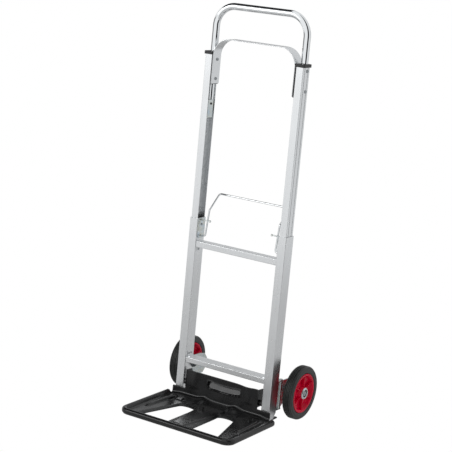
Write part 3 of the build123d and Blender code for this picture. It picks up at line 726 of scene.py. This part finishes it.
def toe_plate():
    """Pressed steel toe plate: a sheet given by its height, a rolled rim on three sides and an upstand."""
    low, high = place("toe_plate")
    half, front, top = high[0], low[1], high[2]
    slot, corner = "black_powder_coat", 28 * MM
    # rim: a closed section carried round the front; its first column, in mm, grows outwards
    section = [(0, 10.6), (5.5, 16.4), (12, 17.4), (17, 13.6), (17, 5.0), (13.5, 0.4), (8.5, 0.4)]
    section += [(4.0, 4.4), (0, 8.4)]
    radii = np.array([0.6, 4.5, 6, 5.5, 4.5, 2.4, 2.4, 2.6, 0.3]) * MM
    rim_outline = rounded(np.array(section) * MM, radii, step=0.8 * MM, closed=True)[0]
    x, y = half - RIM_BAND, front + RIM_BAND
    rear = PANEL_Y - 3 * MM
    path = rounded([(-x, rear, 0), (-x, y, 0), (x, y, 0), (x, rear, 0)], corner - RIM_BAND, step=0.5 * MM)
    piece("toe_plate_rim", "toe", sweep(path, rim_outline, (0, 0, 1)), slot, ["toe_plate"], 40)

    # sheet: stations across and along, then its height; it reaches 1 mm into the rim
    cell = 1.5 * MM
    reach = x + 1.0 * MM
    xs = np.linspace(-reach, reach, int(2 * reach / cell))
    flat_end = PANEL_Y - FILLET
    ys = np.linspace(y - 1.0 * MM, flat_end, int((flat_end - y) / cell))
    gx, gy = np.meshgrid(xs, ys)
    flat, faces = trimmed(gx, gy, window_field(gx, gy), cell)
    rim = np.minimum(half - np.abs(flat[:, 0]), flat[:, 1] - front)
    sheet = np.column_stack([flat, toe_height(flat[:, 0], flat[:, 1], rim)])

    # upstand: a quarter circle from the sheet's rear edge, then straight up
    turn = FILLET * math.pi / 2
    vs = np.concatenate([np.linspace(0, turn, 9), np.linspace(turn, turn + 82 * MM, 60)[1:]])
    gx, gv = np.meshgrid(xs, vs)

    def upstand(x, v):
        """Depth and height of the upstand: angle v / r on the fillet, then straight up.

        Two shallow swellings stand beside the grip, which has a raised lip and leans back as it rises.
        """
        angle = np.clip(v / FILLET, 0, math.pi / 2)
        start = rear_rise(x)
        y = flat_end + FILLET * np.sin(angle)
        z = start + FILLET * (1 - np.cos(angle)) + np.maximum(v - turn, 0)
        face = ramp(36 * MM, 46 * MM, z)
        y = y - 1.6 * MM * face * (hill(x / MM, 92, 12) + hill(x / MM, -88, 12))
        grip = grip_field(x, z)
        inside = ramp(0, 2.2 * MM, grip)
        tilt = np.clip((z - 48 * MM) / (22 * MM), 0, 1)
        lip = hill(grip, 0, 2.2 * MM)
        y = y + inside * (0.8 * MM + 8.6 * MM * tilt) - 1.0 * MM * lip * (1 - inside)
        return y, z

    gz = upstand(gx, gv)[1]
    # tall between the rails, and low before the rails' feet
    crown = top - 2.6 * MM - 2.0 * MM * hill(gx / MM, 78, 20)
    tall_part = soft_least(crown - gz, 119 * MM - np.abs(gx), soft=1.5 * MM)
    low_part = soft_least(33 * MM - gz, 161 * MM - np.abs(gx), soft=1.2 * MM)
    field = np.maximum(tall_part, low_part)
    flat, up_faces = trimmed(gx, gv, field, cell)
    y_up, z_up = upstand(flat[:, 0], flat[:, 1])
    panel = np.column_stack([flat[:, 0], y_up, z_up])
    pressed = piece("toe_plate_sheet", "toe", join((sheet, [faces]), (panel, [up_faces])), slot, smooth=50)
    wall = pressed.modifiers.new("wall", "SOLIDIFY")
    wall.thickness = WALL
    wall.offset = -1.0

    # ends turned back between the rails
    for side, s in SIDES.items():
        ear = [(PANEL_Y - 1 * MM, 38 * MM), (48 * MM, 38 * MM), (54 * MM, 46 * MM), (54 * MM, 72 * MM)]
        ear += [(50 * MM, 86 * MM), (PANEL_Y - 1 * MM, 88 * MM)]
        outline = rounded(ear, np.array([0.5, 5, 3, 5, 4, 0.5]) * MM, closed=True, step=1 * MM)[0]
        inner_x, outer_x = sorted((s * 117 * MM, s * 119 * MM))
        piece("toe_plate_end_" + side, "toe", straight(outline, 0, inner_x, outer_x), slot)


# ------------------------------------------------------------------ stage
def aimed(at, right, up, back):
    """The matrix that stands an object at a point, its x, y and z along right, up and back."""
    return Matrix.Translation(at) @ Matrix(np.column_stack([right, up, back]).tolist()).to_4x4()


def camera():
    """The camera looks down a little from the right of the toe plate, rolled slightly."""
    yaw, pitch, roll = (math.radians(a) for a in (31.9219, -11.7415, 5.2877))
    forward = np.array([-math.sin(yaw) * math.cos(pitch), math.cos(yaw) * math.cos(pitch), math.sin(pitch)])
    level = np.array([math.cos(yaw), math.sin(yaw), 0])
    over = np.cross(level, forward)
    right = level * math.cos(roll) + over * math.sin(roll)
    up = over * math.cos(roll) - level * math.sin(roll)
    data = bpy.data.cameras.new("camera")
    data.sensor_width = 36.0
    data.lens = 112.933
    obj = link("camera", data)
    obj.matrix_world = aimed((1.95341, -3.16572, 1.29651), right, up, -forward)
    bpy.context.scene.camera = obj


def surroundings():
    """Light from all round: pale in front, grey behind and dark below, with cards for the metal to mirror.

    The cards are a ceiling towards the back left, a stand at the right and thin grey strips at the left.
    The camera itself sees plain white.
    """
    world = bpy.data.worlds.new("studio")
    bpy.context.scene.world = world
    world.use_nodes = True
    tree = world.node_tree
    tree.nodes.clear()
    spot = add(tree, "ShaderNodeTexCoord")
    way = add(tree, "ShaderNodeSeparateXYZ", {"Vector": (spot, "Generated")})
    flat = add(tree, "ShaderNodeVectorMath", {0: (spot, "Generated"), 1: (1, 1, 0)}, operation="MULTIPLY")
    level = add(tree, "ShaderNodeVectorMath", {0: (flat, 0)}, operation="NORMALIZE")
    stand_at = math.radians(66)
    facing = (math.sin(stand_at), -math.cos(stand_at), 0)
    aim = add(tree, "ShaderNodeVectorMath", {0: (level, 0), 1: facing}, operation="DOT_PRODUCT")

    # each edge of a card or wall rises from 0 to 1 between two values of a direction's coordinate
    edges = {
        "behind": (way, "Y", 0.0, 0.45),
        "below": (way, "Z", -0.40, -0.50),
        "stand": (aim, "Value", math.cos(math.radians(25)), math.cos(math.radians(20))),
        "ceiling front": (way, "Y", -0.62, -0.42),
        "ceiling right": (way, "X", -0.32, -0.43),
        "ceiling foot": (way, "Z", 0.36, 0.46),
        "ceiling head": (way, "Z", 0.97, 0.88),
        "strip foot": (way, "Z", -0.22, -0.14),
        "strip head": (way, "Z", 0.14, 0.08),
        "rear strip right": (way, "X", 0.25, 0.1),
        "rear strip front": (way, "Y", 0.55, 0.7),
        "far left": (way, "X", -0.76, -0.88),
    }
    masks = {}
    for name, (source, output, low, high) in edges.items():
        feeds = {"Value": (source, output), "From Min": low, "From Max": high}
        masks[name] = add(tree, "ShaderNodeMapRange", feeds, interpolation_type="SMOOTHSTEP")
    # a card is where all its edges overlap, and two cards go together by the larger value
    for name, operation, first, second in (
        ("ceiling plan", "MULTIPLY", "ceiling front", "ceiling right"),
        ("ceiling rise", "MULTIPLY", "ceiling foot", "ceiling head"),
        ("ceiling", "MULTIPLY", "ceiling plan", "ceiling rise"),
        ("dark", "MAXIMUM", "ceiling", "stand"),
        ("rear left", "MULTIPLY", "rear strip right", "rear strip front"),
        ("sides", "MAXIMUM", "rear left", "far left"),
        ("strip rise", "MULTIPLY", "strip foot", "strip head"),
        ("strip", "MULTIPLY", "sides", "strip rise"),
    ):
        feeds = {0: (masks[first], 0), 1: (masks[second], 0)}
        masks[name] = add(tree, "ShaderNodeMath", feeds, operation=operation)
    shade = (0.96, 0.97, 0.98, 1)
    for name, tone in (
        ("behind", (0.76, 0.77, 0.78, 1)),
        ("below", (0.22, 0.22, 0.22, 1)),
        ("strip", (0.25, 0.25, 0.25, 1)),
        ("dark", (0.02, 0.02, 0.022, 1)),
    ):
        layer = add(tree, "ShaderNodeMix", {0: (masks[name], 0), 6: shade, 7: tone}, data_type="RGBA")
        shade = (layer, 2)
    light = add(tree, "ShaderNodeBackground", {"Color": shade, "Strength": 1.0})
    white = add(tree, "ShaderNodeBackground", {"Color": WHITE, "Strength": 1.0})
    ray = add(tree, "ShaderNodeLightPath")
    both = add(tree, "ShaderNodeMixShader", {0: (ray, "Is Camera Ray"), 1: (light, 0), 2: (white, 0)})
    add(tree, "ShaderNodeOutputWorld", {"Surface": (both, 0)})


def softbox():
    """A soft rectangle of light in front and to the left, aimed at the lower part of the truck."""
    data = bpy.data.lights.new("softbox", "AREA")
    data.shape = "RECTANGLE"
    data.size, data.size_y = 1.6, 1.2
    data.energy = 22
    place_at, aim_at = np.array([-1.98, -2.8, 1.75]), np.array([0.0, 0.0, 0.3])
    back = unit(place_at - aim_at)
    right = unit(np.cross([0, 0, 1], back))
    link("softbox", data).matrix_world = aimed(place_at, right, np.cross(back, right), back)


def floor():
    """A square grey board under the truck, softly lit from within, which the camera sees as plain white."""
    reach = 1.6
    corners = [(-reach, -reach, 0), (reach, -reach, 0), (reach, reach, 0), (-reach, reach, 0)]
    mesh = bpy.data.meshes.new("floor")
    mesh.from_pydata(corners, [], [(0, 1, 2, 3)])
    board = link("floor", mesh)
    constants = {"Base Color": linear("#A4A4A4"), "Roughness": 0.9}
    constants.update({"Emission Color": WHITE, "Emission Strength": 0.3})
    material, tree, shader = start_material("studio_board", constants)
    glow = add(tree, "ShaderNodeEmission", {"Color": WHITE, "Strength": 1.0})
    ray = add(tree, "ShaderNodeLightPath")
    both = add(tree, "ShaderNodeMixShader", {0: (ray, "Is Camera Ray"), 1: (shader, 0), 2: (glow, 0)})
    tree.links.new(both.outputs[0], tree.nodes["Material Output"].inputs["Surface"])
    mesh.materials.append(material)


# ------------------------------------------------------------------ build
for side, s in SIDES.items():
    lower_rail(side)
    mid_rail(side, s)
    tyre(side)
    hub(side, s)
    hub_cap(side, s)
crossbar("upper_crossbar")
crossbar("lower_crossbar")
top_strap()
handle()
bail()
toe_plate()

for name, node in frame["nodes"].items():
    slot = SLOT_OF[name]
    lies_across = "crossbar" in name and slot == "anodised_aluminium"
    node.data.materials.clear()
    node.data.materials.append(BAR_FINISH if lies_across else FINISHES[slot])

camera()
surroundings()
softbox()
floor()
bpy.context.scene.view_settings.view_transform = "Standard"
bpy.context.scene.view_settings.look = "None"
